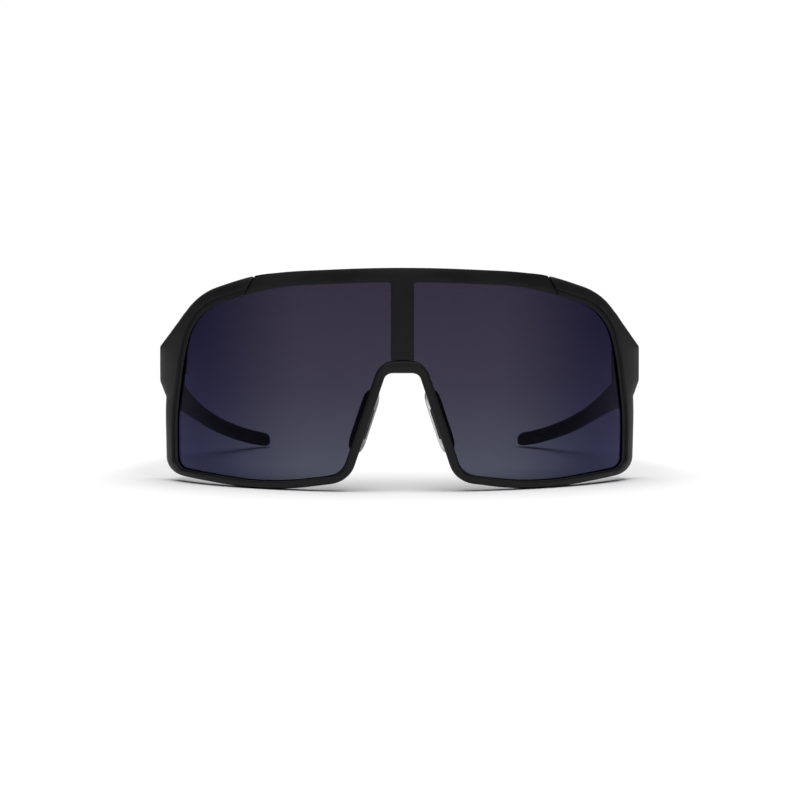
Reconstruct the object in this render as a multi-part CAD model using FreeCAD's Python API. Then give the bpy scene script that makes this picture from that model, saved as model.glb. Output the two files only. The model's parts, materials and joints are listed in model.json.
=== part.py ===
"""Wraparound sport sunglasses with a one-piece shield lens and folding temples.

Millimetres, +Z up, front towards -Y, temples towards +Y, the wearer's left at +X.
The glasses stand open on a table: bottom rim and temple tips at Z = 0, with the origin
under the middle of the overall box.

While modelling, Y = 0 is the lens's foremost point and the lens turns about an upright
axis LENS_RADIUS behind it. place() moves every finished piece to the part's own frame.
"""
import FreeCAD, Part
import math
import os

V = FreeCAD.Vector

# ---------------------------------------------------------------- lens and its opening
OPENING_HALF_WIDTH = 66.2     # centre line to the side edge of the lens opening
OPENING_TOP = 60.0            # height of the opening's crown
OPENING_LOW = 1.8             # height of the opening's lowest corner
WRAP_HALF_ANGLE = 50.33       # degrees of wrap from the centre line to the opening's side
LENS_UPRIGHT_RADIUS = 220.0   # curve of the lens from top to bottom
LENS_THICKNESS = 2.0
LIP_OVERLAP = 1.2             # how far the rim's lips cover the lens edge
LENS_FIT = 0.05               # gap round the lens in its groove
OPENING_HEIGHT = OPENING_TOP - OPENING_LOW
CHEEK_UPPER_SHARE = 235 / 582       # of the opening's height, down from its top
CHEEK_LOWER_SHARE = 182 / 582       # of the opening's height, up from its lowest corner

# Corners of the opening: (inset from the side, distance from the top or bottom, radius)
CROWN_RADIUS = 400.0
BROW_BEND = (28.7, 1.6, 80.0)       # distances down from the top
SHOULDER = (5.8, 9.0, 16.0)
CHEEK_UPPER = (2.3, CHEEK_UPPER_SHARE * OPENING_HEIGHT, 50.0)
CHEEK_LOWER = (0.0, CHEEK_LOWER_SHARE * OPENING_HEIGHT, 80.0)     # distances up from the bottom
LOWER_CORNER = (0.0, 2.5, 3.0)
BOTTOM = (28.2, 0.0, 91.0)
# Corners by the nose: (distance from the centre line, distance from the bottom, radius)
NOSE_FOOT = (17.3, 3.1, 6.0)
NOSE_ARCH = (6.3, 35.7, 6.2)

# ---------------------------------------------------------------- rim
BROW_WIDTH = 4.1              # rim widths, seen from the front
SHOULDER_WIDTH = 4.7
CHEEK_WIDTH = 4.4             # from the shoulder down to the lower cheek corner
SIDE_WIDTH = 4.0
BOTTOM_WIDTH = 2.3
NOSE_LEG_WIDTH = 2.7
ARCH_WIDTH = 3.5
RIM_PROUD = 1.5               # front lip, ahead of the lens
RIM_BACK = 1.5                # rear lip, behind the lens

# ---------------------------------------------------------------- T-shaped brow bar
BROW_PROUD = 0.8              # its face, ahead of the lens
BROW_END_TOP = 40.7           # half length at the height of the brow's top edge
BROW_END_LOW = 43.8           # half length at the height of the brow's bend
BROW_FIT = 0.08               # gap to the rim
BAR_HALF_WIDTH = 3.25
TONGUE_LENGTH = 0.9           # bar's foot under the nose arch's lip
TONGUE_PROUD = 0.55

# ---------------------------------------------------------------- end-piece lugs
LUG_REACH = 5.8               # outer face, beyond the opening's side
LUG_THICKNESS = 6.0
LUG_LENGTH = 7.7              # length of its outer face
LUG_HEIGHT = 10.2
LUG_CHAMFER = 3.6             # fall of the slope under the lug
LUG_SWEEP = 6.4               # rise of the sweep from the lug to the shoulder
HINGE_BELOW_TOP = 24.9        # hinge centre, below the opening's top
# Corners of the sweep above the lug: (inset, share of the sweep's rise, radius)
SWEEP_ROOT = (3.4, 1.55, 0.5)       # inset from the lens edge
SWEEP_HEAD = (0.7, 1.0, 3.0)        # inset from the lens edge
SWEEP_BEND = (2.6, 0.45, 6.0)       # inset from the lug's outer face
LUG_TOP_EDGE = 0.6            # radius of the outer face's upper edge
LUG_LOW_EDGE = 0.8            # radius of its lower edge
SLOPE_FOOT = (0.2, 2.0)       # (distance outside the rim's side, radius)
SLOPE_ROOT = (5.0, 0.5)       # (distance below the slope's foot, radius)

# ---------------------------------------------------------------- hinges
PIN_RADIUS = 0.7
PIN_FIT = 0.04                # radial gap of the pin in its knuckles
KNUCKLE_RADIUS = 1.5
KNUCKLE_HEIGHT = 2.1          # each of the three knuckles
KNUCKLE_GAP = 0.08
RELIEF = 0.18                 # gap between knuckles and the plastic round them
LEAF_THICKNESS = 1.0
LEAF_SUNK = 0.65              # part of the leaf's thickness let into the plastic
LEAF_FIT = 0.04
FRONT_LEAF_LENGTH = 6.2
TEMPLE_LEAF_LENGTH = 9.4
BUTT_GAP = 0.16               # between the lug's end and the temple's end
SCREW_HEAD_RADIUS = 1.2
SCREW_HEAD_HEIGHT = 0.5
SLOT_WIDTH = 0.3
RIVET_RADIUS = 0.5
RIVET_HEAD_RADIUS = 0.95
RIVET_HEAD_HEIGHT = 0.35
RIVET_GRIP = 1.3              # depth of the rivet in the plastic
RIVET_EDGE = 1.7              # last rivet's centre to the leaf's end
TEMPLE_RIVET_PITCH = 3.6

# ---------------------------------------------------------------- temples
ARM_LENGTH = 113.0            # hinge to tip, straight back
ARM_BOW = 2.0                 # outward bow of the inner face
ARM_STRAIGHT = 0.09           # straight start beside the hinge leaf, share of the length
ARM_BOW_END = 0.30            # where the bow is complete
EAR_CURVE_FROM = 0.2          # where the inward curve to the ear begins
TIP_INSET = 24.7              # inward curve from there to the tip
TIP_CURVE_POWER = 2.6
ARM_FRONT_THICKNESS = 5.6
ARM_STEP = 0.002              # share of the length used to find the arm's direction
ARM_EDGE = 0.38               # section's corner radius, as a share of its thickness
# Stations: (share of the length, share of the drop, height, thickness)
ARM_STATIONS = [
    (0.00, 0.000, 10.0, ARM_FRONT_THICKNESS),
    (0.07, 0.125, 11.2, 4.7),
    (0.16, 0.260, 11.0, 4.0),
    (0.29, 0.360, 8.8, 3.5),
    (0.42, 0.450, 7.1, 3.2),
    (0.55, 0.565, 5.8, 3.1),
    (0.68, 0.700, 5.1, 3.2),
    (0.80, 0.825, 4.8, 3.4),
    (0.91, 0.930, 4.7, 3.5),
    (0.985, 0.995, 4.5, 3.4),
    (1.00, 1.000, 3.0, 1.9),
]
SLEEVE_FROM = 6               # station where the rubber sleeve starts
SLEEVE_WALL = 0.9
SLEEVE_FIT = 0.02
CORE_END = 9                  # station where the arm's core ends inside the sleeve

# ---------------------------------------------------------------- nose pads
PAD_LENGTH = 19.0
PAD_WIDTH = 8.4
PAD_THICKNESS = 1.7
PAD_EDGE = 0.6
PAD_SPLAY = 18.0              # degrees outward towards the face
PAD_LEAN = 18.3               # degrees from upright, along the nose arch's leg
PAD_HEIGHT = 18.5             # pad's middle, below the nose arch's corner
PAD_INSIDE = 1.2              # pad's front edge stands this far inside the nose opening
PAD_SETBACK = 1.5             # pad's front edge behind the rim
CARRIER_THICKNESS = 1.2
CARRIER_MARGIN = 0.5          # carrier's edge inside the pad's edge
TAB_LENGTH = 9.0              # carrier's tab let into the rim
TAB_DEPTH = 1.0
TAB_FIT = 0.05
PEG_RADIUS = 0.9
PEG_LENGTH = 0.9
PEG_FIT = 0.03

# ---------------------------------------------------------------- worked out from the above
LENS_RADIUS = OPENING_HALF_WIDTH / math.sin(math.radians(WRAP_HALF_ANGLE))
MID_Z = 0.5 * (OPENING_TOP + OPENING_LOW)
LUG_X = OPENING_HALF_WIDTH + LUG_REACH
LUG_INNER_X = LUG_X - LUG_THICKNESS
HINGE_Z = OPENING_TOP - HINGE_BELOW_TOP
RIM_OUTER_RADIUS = LENS_RADIUS + RIM_PROUD
LUG_FRONT_Y = LENS_RADIUS - math.sqrt(RIM_OUTER_RADIUS ** 2 - LUG_X ** 2)
HINGE_Y = LUG_FRONT_Y + LUG_LENGTH
HINGE_X = LUG_INNER_X + LEAF_SUNK - LEAF_THICKNESS
RIM_BACK_OFFSET = -LENS_THICKNESS - RIM_BACK
HINGE_STACK = 3 * KNUCKLE_HEIGHT + 2 * KNUCKLE_GAP
SPAN = 3 * LENS_RADIUS        # longer than anything it cuts
DEEP = 0.5 * LENS_RADIUS      # depth of a shell that reaches behind the whole lug
AHEAD = 4 * RIM_PROUD         # a shell's front, clear of every face of the front
SHELL_WRAP = 160.0            # degrees of wrap of every shell, wider than any outline
SHORTEST_EDGE = 1e-6


# ================================================================ outlines
def rounded_wire(corners):
    """Closed wire in the XZ plane from (x, z, radius) corners, each rounded by an arc."""
    count = len(corners)
    edges = []
    stops = []
    for i in range(count):
        x, z, radius = corners[i]
        corner = V(x, 0, z)
        before = V(corners[i - 1][0], 0, corners[i - 1][1]) - corner
        after = V(corners[(i + 1) % count][0], 0, corners[(i + 1) % count][1]) - corner
        before.normalize()
        after.normalize()
        half = 0.5 * before.getAngle(after)
        inward = before + after
        inward.normalize()
        reach = radius / math.tan(half)
        middle = corner + inward * (radius / math.sin(half) - radius)
        stops.append((corner + before * reach, middle, corner + after * reach))
    for i in range(count):
        start, middle, end = stops[i]
        following = stops[(i + 1) % count][0]
        if (end - start).Length > SHORTEST_EDGE:
            edges.append(Part.Arc(start, middle, end).toShape())
        if (following - end).Length > SHORTEST_EDGE:
            edges.append(Part.LineSegment(end, following).toShape())
    return Part.Wire(edges)


def mirrored_loop(half):
    """Whole loop of corners from its right half; the first corner is on the centre line."""
    left = [(-x, z, radius) for x, z, radius in reversed(half[1:])]
    return half + left


def opening_half():
    """Right half of the lens opening's corners, clockwise from the crown."""
    corners = [(0.0, OPENING_TOP, CROWN_RADIUS)]
    for inset, down, radius in (BROW_BEND, SHOULDER, CHEEK_UPPER):
        corners.append((OPENING_HALF_WIDTH - inset, OPENING_TOP - down, radius))
    for inset, up, radius in (CHEEK_LOWER, LOWER_CORNER, BOTTOM):
        corners.append((OPENING_HALF_WIDTH - inset, OPENING_LOW + up, radius))
    for x, up, radius in (NOSE_FOOT, NOSE_ARCH):
        corners.append((x, OPENING_LOW + up, radius))
    return corners


def offset_loop(loop, widths):
    """Corners of a clockwise loop moved outward; widths[i] is for the edge after corner i."""
    count = len(loop)
    moved = []
    for i in range(count):
        x, z, radius = loop[i]
        here = V(x, 0, z)
        arriving = here - V(loop[i - 1][0], 0, loop[i - 1][1])
        leaving = V(loop[(i + 1) % count][0], 0, loop[(i + 1) % count][1]) - here
        arriving.normalize()
        leaving.normalize()
        out_before = V(-arriving.z, 0, arriving.x)
        out_after = V(-leaving.z, 0, leaving.x)
        width_before = widths[i - 1]
        width_after = widths[i]
        # Out along the arriving edge's normal, then along that edge to the leaving edge's line.
        spot = here + out_before * width_before
        slide = (width_after - (spot - here).dot(out_after)) / arriving.dot(out_after)
        spot = spot + arriving * slide
        convex = arriving.x * leaving.z - arriving.z * leaving.x < 0
        sign = 1.0 if convex else -1.0
        moved.append((spot.x, spot.z, radius + sign * 0.5 * (width_before + width_after)))
    return moved


def rim_widths():
    """Width of the rim along each edge of the opening's loop."""
    half = [BROW_WIDTH, SHOULDER_WIDTH, CHEEK_WIDTH, CHEEK_WIDTH, SIDE_WIDTH,
            BOTTOM_WIDTH, BOTTOM_WIDTH, NOSE_LEG_WIDTH]
    return half + [ARCH_WIDTH] + half[::-1]


# ================================================================ basic solids
def prism(wire):
    """The wire's face, drawn in the XZ plane, run through the whole depth of the front."""
    sheet = Part.Face(wire)
    sheet.translate(V(0, -SPAN, 0))
    return sheet.extrude(V(0, 2 * SPAN, 0))


def shell(back, front):
    """Toric shell between two distances from the lens's outer face, + towards the front."""
    reach = OPENING_HEIGHT
    centre_y = LENS_UPRIGHT_RADIUS

    def arc_point(offset, rise):
        radius = LENS_UPRIGHT_RADIUS + offset
        return V(0, centre_y - math.sqrt(radius ** 2 - rise ** 2), MID_Z + rise)

    outer = Part.Arc(arc_point(front, -reach), arc_point(front, 0), arc_point(front, reach))
    inner = Part.Arc(arc_point(back, reach), arc_point(back, 0), arc_point(back, -reach))
    top = Part.LineSegment(arc_point(front, reach), arc_point(back, reach))
    bottom = Part.LineSegment(arc_point(back, -reach), arc_point(front, -reach))
    wire = Part.Wire([outer.toShape(), top.toShape(), inner.toShape(), bottom.toShape()])
    section = Part.Face(wire)
    axis_point = V(0, LENS_RADIUS, 0)
    section.rotate(axis_point, V(0, 0, 1), -0.5 * SHELL_WRAP)
    return section.revolve(axis_point, V(0, 0, 1), SHELL_WRAP)


def block(low, high):
    """Box between two opposite corners."""
    size = high - low
    return Part.makeBox(size.x, size.y, size.z, low)


def upright(radius, x, y, z_low, z_high):
    """Upright cylinder."""
    return Part.makeCylinder(radius, z_high - z_low, V(x, y, z_low))


def mirrored(shape):
    """The same piece on the other side of the centre line."""
    return shape.mirror(V(0, 0, 0), V(1, 0, 0))


def one_solid(shape):
    """The single solid in a boolean result, with merged faces."""
    tidy = shape.removeSplitter()
    if len(tidy.Solids) != 1:
        raise ValueError("expected one solid, got %d" % len(tidy.Solids))
    return tidy.Solids[0]


def exact_box(shape):
    """Tight bounding box, also round spline faces."""
    return shape.optimalBoundingBox(False, False)


# ================================================================ front: lens, rim, brow
OPENING = mirrored_loop(opening_half())
RIM_OUTLINE = offset_loop(OPENING, rim_widths())


def grown_opening(margin):
    """Wire of the opening moved outward by the same margin all round."""
    return rounded_wire(offset_loop(OPENING, [margin] * len(OPENING)))


def lens():
    return one_solid(prism(grown_opening(LIP_OVERLAP)).common(shell(-LENS_THICKNESS, 0)))


def lens_groove():
    """Room for the lens in the rim and behind the brow bar."""
    wire = grown_opening(LIP_OVERLAP + LENS_FIT)
    return prism(wire).common(shell(-LENS_THICKNESS - LENS_FIT, LENS_FIT))


def ring_prism():
    """The rim's front-view shape, run through its depth."""
    return prism(rounded_wire(RIM_OUTLINE)).cut(prism(rounded_wire(OPENING)))


def brow_zone(gap):
    """Trapezoid over the middle of the brow, wider by the gap at both ends."""
    low = OPENING_TOP - SHOULDER[1]
    high = OPENING_TOP + 2 * BROW_WIDTH
    rise = OPENING_TOP + BROW_WIDTH - (OPENING_TOP - BROW_BEND[1])
    lean = (BROW_END_LOW - BROW_END_TOP) / rise
    edge_z = OPENING_TOP - BROW_BEND[1]
    x_low = BROW_END_LOW + gap + lean * (edge_z - low)
    x_high = BROW_END_LOW + gap + lean * (edge_z - high)
    spots = [V(-x_low, 0, low), V(-x_high, 0, high), V(x_high, 0, high), V(x_low, 0, low)]
    return prism(Part.makePolygon(spots + spots[:1]))


def bar_prism(gap, foot_z):
    """Centre bar from its foot up into the brow, wider by the gap."""
    low = V(-BAR_HALF_WIDTH - gap, -SPAN, foot_z - gap)
    return block(low, V(BAR_HALF_WIDTH + gap, SPAN, OPENING_TOP + 0.5 * BROW_WIDTH))


def arch_z():
    """Height of the nose arch's upper edge."""
    return OPENING_LOW + NOSE_ARCH[1]


def brow_bar(ring, groove):
    crown = ring.common(brow_zone(0)).common(shell(-LENS_THICKNESS + BROW_FIT, BROW_PROUD))
    bar = bar_prism(0, arch_z() + BROW_FIT).common(shell(LENS_FIT, BROW_PROUD))
    tongue_prism = bar_prism(0, arch_z() - TONGUE_LENGTH)
    tongue = tongue_prism.common(shell(LENS_FIT, TONGUE_PROUD))
    return one_solid(crown.fuse([bar, tongue]).cut(groove))


def lug_corners():
    """Front-view outline of an end piece, from the shoulder round to its underside."""
    top = HINGE_Z + 0.5 * LUG_HEIGHT
    low = HINGE_Z - 0.5 * LUG_HEIGHT
    inside = OPENING_HALF_WIDTH + LIP_OVERLAP
    side = OPENING_HALF_WIDTH + SIDE_WIDTH
    return [
        (inside - SWEEP_ROOT[0], top + SWEEP_ROOT[1] * LUG_SWEEP, SWEEP_ROOT[2]),
        (inside - SWEEP_HEAD[0], top + SWEEP_HEAD[1] * LUG_SWEEP, SWEEP_HEAD[2]),
        (LUG_X - SWEEP_BEND[0], top + SWEEP_BEND[1] * LUG_SWEEP, SWEEP_BEND[2]),
        (LUG_X, top, LUG_TOP_EDGE),
        (LUG_X, low, LUG_LOW_EDGE),
        (side + SLOPE_FOOT[0], low - LUG_CHAMFER, SLOPE_FOOT[1]),
        (inside, low - LUG_CHAMFER - SLOPE_ROOT[0], SLOPE_ROOT[1]),
    ]


def lug():
    """Right-hand end piece: the rim's skin run out to the side, and the hinge block."""
    outline = prism(rounded_wire(lug_corners()))
    skin = outline.common(shell(RIM_BACK_OFFSET, RIM_PROUD))
    low = V(LUG_INNER_X, 0, HINGE_Z - 0.5 * LUG_HEIGHT)
    high = V(LUG_X, HINGE_Y, HINGE_Z + 0.5 * LUG_HEIGHT)
    core = block(low, high).common(shell(-DEEP, RIM_PROUD))
    before_hinge = block(V(0, -SPAN, 0), V(SPAN, HINGE_Y - 0.5 * BUTT_GAP, SPAN))
    return skin.fuse(core).common(before_hinge)


def front_frame(ring, groove):
    rim = ring.common(shell(RIM_BACK_OFFSET, RIM_PROUD))
    before_hinge = block(V(-SPAN, -SPAN, -SPAN), V(SPAN, HINGE_Y - 0.5 * BUTT_GAP, SPAN))
    side = lug()
    body = rim.common(before_hinge).fuse([side, mirrored(side)])
    seat = brow_zone(BROW_FIT).common(shell(-LENS_THICKNESS, AHEAD))
    slot_prism = bar_prism(BROW_FIT, arch_z() - TONGUE_LENGTH)
    slot = slot_prism.common(shell(0, TONGUE_PROUD + BROW_FIT))
    body = body.cut([groove, seat, slot])
    for hinge_cut in hinge_room(front=True) + [carrier_tab(TAB_FIT)]:
        body = body.cut([hinge_cut, mirrored(hinge_cut)])
    return one_solid(body)


# ================================================================ hinges
def knuckle_levels():
    """(low, high) of the lower, middle and upper knuckle."""
    levels = []
    for i in range(3):
        low = HINGE_Z - 0.5 * HINGE_STACK + i * (KNUCKLE_HEIGHT + KNUCKLE_GAP)
        levels.append((low, low + KNUCKLE_HEIGHT))
    return levels


def leaf_plate(start, end, margin):
    """Flat plate of a leaf from start to end, as distances back from the hinge axis."""
    low_z = HINGE_Z - 0.5 * HINGE_STACK - margin
    high_z = HINGE_Z + 0.5 * HINGE_STACK + margin
    low = V(HINGE_X, HINGE_Y + start - margin, low_z)
    return block(low, V(HINGE_X + LEAF_THICKNESS + margin, HINGE_Y + end + margin, high_z))


def leaf(levels, direction, length):
    """Plate with its knuckles; direction -1 runs to the front, +1 to the back."""
    clear = KNUCKLE_RADIUS + RELIEF
    ends = sorted((direction * clear, direction * length))
    body = leaf_plate(ends[0], ends[1], 0)
    for low, high in levels:
        neck_ends = sorted((0, direction * clear))
        neck_low = V(HINGE_X, HINGE_Y + neck_ends[0], low)
        neck = block(neck_low, V(HINGE_X + LEAF_THICKNESS, HINGE_Y + neck_ends[1], high))
        body = body.fuse([neck, upright(KNUCKLE_RADIUS, HINGE_X, HINGE_Y, low, high)])
    bore = upright(PIN_RADIUS + PIN_FIT, HINGE_X, HINGE_Y, 0, OPENING_TOP)
    return one_solid(body.cut(bore))


def rivet_spots(direction, length, count):
    """Y of each rivet through a leaf, from its free end."""
    first = HINGE_Y + direction * (length - RIVET_EDGE)
    return [first - direction * i * TEMPLE_RIVET_PITCH for i in range(count)]


def rivet(y):
    """Rivet along X: domed head on the leaf's inner face and a shank in the plastic."""
    length = LEAF_THICKNESS + RIVET_GRIP
    shank = Part.makeCylinder(RIVET_RADIUS, length, V(HINGE_X, y, HINGE_Z), V(1, 0, 0))
    ball_radius = (RIVET_HEAD_RADIUS ** 2 + RIVET_HEAD_HEIGHT ** 2) / (2 * RIVET_HEAD_HEIGHT)
    ball_x = HINGE_X + ball_radius - RIVET_HEAD_HEIGHT
    ball = Part.makeSphere(ball_radius, V(ball_x, y, HINGE_Z))
    reach = 2 * ball_radius
    outside = block(V(HINGE_X - reach, y - reach, HINGE_Z - reach),
                    V(HINGE_X, y + reach, HINGE_Z + reach))
    return one_solid(ball.common(outside).fuse(shank))


def rivet_holes(direction, length, count):
    """Clearance holes for the rivets, through leaf and plastic."""
    radius = RIVET_RADIUS + LEAF_FIT
    depth = LEAF_THICKNESS + RIVET_GRIP + LEAF_FIT
    holes = []
    for y in rivet_spots(direction, length, count):
        holes.append(Part.makeCylinder(radius, depth, V(HINGE_X, y, HINGE_Z), V(1, 0, 0)))
    return holes


def hinge_screw():
    """Pivot screw: plain shank through the knuckles and a slotted head on top."""
    low = HINGE_Z - 0.5 * HINGE_STACK
    top = HINGE_Z + 0.5 * HINGE_STACK + KNUCKLE_GAP
    shank = upright(PIN_RADIUS, HINGE_X, HINGE_Y, low, top)
    head = upright(SCREW_HEAD_RADIUS, HINGE_X, HINGE_Y, top, top + SCREW_HEAD_HEIGHT)
    slot_low = V(HINGE_X - 2 * SCREW_HEAD_RADIUS, HINGE_Y - 0.5 * SLOT_WIDTH,
                 top + 0.5 * SCREW_HEAD_HEIGHT)
    slot_high = V(HINGE_X + 2 * SCREW_HEAD_RADIUS, HINGE_Y + 0.5 * SLOT_WIDTH,
                  top + 2 * SCREW_HEAD_HEIGHT)
    return one_solid(shank.fuse(head).cut(block(slot_low, slot_high)))


def hinge_room(front):
    """What a hinge needs cut from the lug (front) or from the temple's end."""
    low = HINGE_Z - 0.5 * HINGE_STACK - RELIEF
    open_top = HINGE_Z + LUG_HEIGHT
    knuckles = upright(KNUCKLE_RADIUS + RELIEF, HINGE_X, HINGE_Y, low, open_top)
    if front:
        plate = leaf_plate(-FRONT_LEAF_LENGTH, 0, LEAF_FIT)
        return [knuckles, plate] + rivet_holes(-1, FRONT_LEAF_LENGTH, 1)
    plate = leaf_plate(0, TEMPLE_LEAF_LENGTH, LEAF_FIT)
    return [knuckles, plate] + rivet_holes(1, TEMPLE_LEAF_LENGTH, 2)


def hinge_leaves():
    """Front leaf with the outer knuckles and temple leaf with the middle one."""
    lower, middle, upper = knuckle_levels()
    front = leaf([lower, upper], -1, FRONT_LEAF_LENGTH)
    temple = leaf([middle], 1, TEMPLE_LEAF_LENGTH)
    front = front.cut(rivet_holes(-1, FRONT_LEAF_LENGTH, 1))
    temple = temple.cut(rivet_holes(1, TEMPLE_LEAF_LENGTH, 2))
    return one_solid(front), one_solid(temple)


# ================================================================ temples
def arm_inner_x(along):
    """Inner face of the temple at a share of its length: straight, a slight bow, ear curve."""
    share = (along - ARM_STRAIGHT) / (ARM_BOW_END - ARM_STRAIGHT)
    share = min(max(share, 0), 1)
    bow = ARM_BOW * share ** 2 * (3 - 2 * share)
    beyond = max(along - EAR_CURVE_FROM, 0) / (1 - EAR_CURVE_FROM)
    return LUG_INNER_X + bow - TIP_INSET * beyond ** TIP_CURVE_POWER


def arm_section(station, tip_z, shrink):
    """Rounded rectangle across the arm, square to its line as seen from above."""
    along, drop, height, thickness = station
    front_y = HINGE_Y + 0.5 * BUTT_GAP
    ahead = arm_inner_x(along + ARM_STEP) - arm_inner_x(max(along - ARM_STEP, 0))
    run = ARM_LENGTH * (ARM_STEP + min(along, ARM_STEP))
    across = V(run, -ahead, 0)
    if along == 0:
        across = V(1, 0, 0)
    across.normalize()
    middle = V(arm_inner_x(along), front_y + along * (ARM_LENGTH - 0.5 * BUTT_GAP),
               HINGE_Z + drop * (tip_z - HINGE_Z))
    middle = middle + across * (0.5 * thickness)
    half_t = 0.5 * thickness - shrink
    half_h = 0.5 * height - shrink
    edge = 2 * half_t * ARM_EDGE
    up = V(0, 0, 1)

    def spot(a, b):
        return middle + across * a + up * b

    edges = []
    diagonal = edge * (1 - math.sqrt(0.5))
    signs = [(1, 1), (1, -1), (-1, -1), (-1, 1)]
    for i in range(4):
        sa, sb = signs[i]
        side = spot(sa * half_t, sb * (half_h - edge))
        crown = spot(sa * (half_t - edge), sb * half_h)
        bend = spot(sa * (half_t - diagonal), sb * (half_h - diagonal))
        start, end = (crown, side) if sa * sb > 0 else (side, crown)
        edges.append(Part.Arc(start, bend, end).toShape())
        na, nb = signs[(i + 1) % 4]
        if sa * sb > 0:
            following = spot(na * half_t, nb * (half_h - edge))
        else:
            following = spot(na * (half_t - edge), nb * half_h)
        edges.append(Part.LineSegment(end, following).toShape())
    return Part.Wire(edges)


def arm_loft(stations, tip_z, shrink=0.0):
    """Smooth solid through the arm's sections; tip_z is the height of the last one's middle."""
    return Part.makeLoft([arm_section(s, tip_z, shrink) for s in stations], True, False)


def tip_height(ground):
    """Height of the tip's middle that lets the tip's underside touch the ground."""
    tip_z = ground + 0.5 * ARM_STATIONS[-2][2]
    trial = exact_box(arm_loft(ARM_STATIONS, tip_z))
    return tip_z + ground - trial.ZMin


def temple_parts(ground):
    """Arm with its thin core, and the rubber sleeve over that core."""
    tip_z = tip_height(ground)
    whole = arm_loft(ARM_STATIONS, tip_z)
    core_stations = ARM_STATIONS[SLEEVE_FROM - 1:CORE_END + 1]
    core = arm_loft(core_stations, tip_z, SLEEVE_WALL)
    joint_y = HINGE_Y + ARM_STATIONS[SLEEVE_FROM][0] * ARM_LENGTH
    behind = block(V(-SPAN, joint_y, -SPAN), V(SPAN, joint_y + SPAN, SPAN))
    arm = whole.cut(behind).fuse(core)
    for room in hinge_room(front=False):
        arm = arm.cut(room)
    core_room = arm_loft(core_stations, tip_z, SLEEVE_WALL - SLEEVE_FIT)
    sleeve = whole.common(behind).cut(core_room)
    return one_solid(arm), one_solid(sleeve)


# ================================================================ nose pads
def pad_frame():
    """Middle of the pad's nose face, and its directions: along, back, and to the nose."""
    lean = math.radians(PAD_LEAN)
    splay = math.radians(PAD_SPLAY)
    along = V(math.sin(lean), 0, -math.cos(lean))
    back = V(math.sin(splay), math.cos(splay), 0)
    back = back - along * back.dot(along)
    back.normalize()
    to_nose = along.cross(back)
    if to_nose.x > 0:
        to_nose = -to_nose
    z = arch_z() - PAD_HEIGHT
    leg_x = NOSE_ARCH[0] + (arch_z() - z) * math.tan(lean)
    edge_x = leg_x - NOSE_LEG_WIDTH / math.cos(lean) - PAD_INSIDE
    back_face = LENS_RADIUS + RIM_BACK_OFFSET
    edge_y = LENS_RADIUS - math.sqrt(back_face ** 2 - leg_x ** 2) + PAD_SETBACK
    front_edge = V(edge_x, edge_y, z)
    return front_edge + back * (0.5 * PAD_WIDTH), along, back, to_nose


def pad_plate(length, width, front, thickness):
    """Rounded plate parallel to the pad's nose face, from front to front + thickness behind."""
    middle, along, back, to_nose = pad_frame()
    radius = 0.5 * width
    straight = 0.5 * length - radius

    def spot(a, b):
        return middle + along * a + back * b - to_nose * front

    edges = [
        Part.LineSegment(spot(-straight, -radius), spot(straight, -radius)).toShape(),
        Part.Arc(spot(straight, -radius), spot(straight + radius, 0),
                 spot(straight, radius)).toShape(),
        Part.LineSegment(spot(straight, radius), spot(-straight, radius)).toShape(),
        Part.Arc(spot(-straight, radius), spot(-straight - radius, 0),
                 spot(-straight, -radius)).toShape(),
    ]
    return Part.Face(Part.Wire(edges)).extrude(-to_nose * thickness)


def pad_peg(radius, length):
    """Round peg from the carrier's face into the pad."""
    middle, _, _, to_nose = pad_frame()
    root = middle - to_nose * (PAD_THICKNESS + 0.5 * CARRIER_THICKNESS)
    return Part.makeCylinder(radius, length + 0.5 * CARRIER_THICKNESS, root, to_nose)


def carrier_tab(gap):
    """Tab on the carrier's front edge that is let into the back of the rim."""
    middle, along, back, to_nose = pad_frame()
    start = PAD_THICKNESS - gap
    depth = CARRIER_THICKNESS + 2 * gap
    half = 0.5 * TAB_LENGTH + gap
    spots = []
    for a, b in ((-half, -PAD_WIDTH), (half, -PAD_WIDTH), (half, 0), (-half, 0)):
        spots.append(middle + along * a + back * b - to_nose * start)
    tab = Part.Face(Part.makePolygon(spots + spots[:1])).extrude(-to_nose * depth)
    return tab.cut(shell(RIM_BACK_OFFSET + TAB_DEPTH + gap, AHEAD))


def nose_pad():
    slab = pad_plate(PAD_LENGTH, PAD_WIDTH, 0, PAD_THICKNESS)
    rounded = slab.makeFillet(PAD_EDGE, slab.Edges)
    return one_solid(rounded.cut(pad_peg(PEG_RADIUS + PEG_FIT, PEG_LENGTH + PEG_FIT)))


def nose_pad_carrier():
    plate = pad_plate(PAD_LENGTH - 2 * CARRIER_MARGIN, PAD_WIDTH - 2 * CARRIER_MARGIN,
                      PAD_THICKNESS, CARRIER_THICKNESS)
    return one_solid(plate.fuse([carrier_tab(0), pad_peg(PEG_RADIUS, PEG_LENGTH)]))


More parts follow.
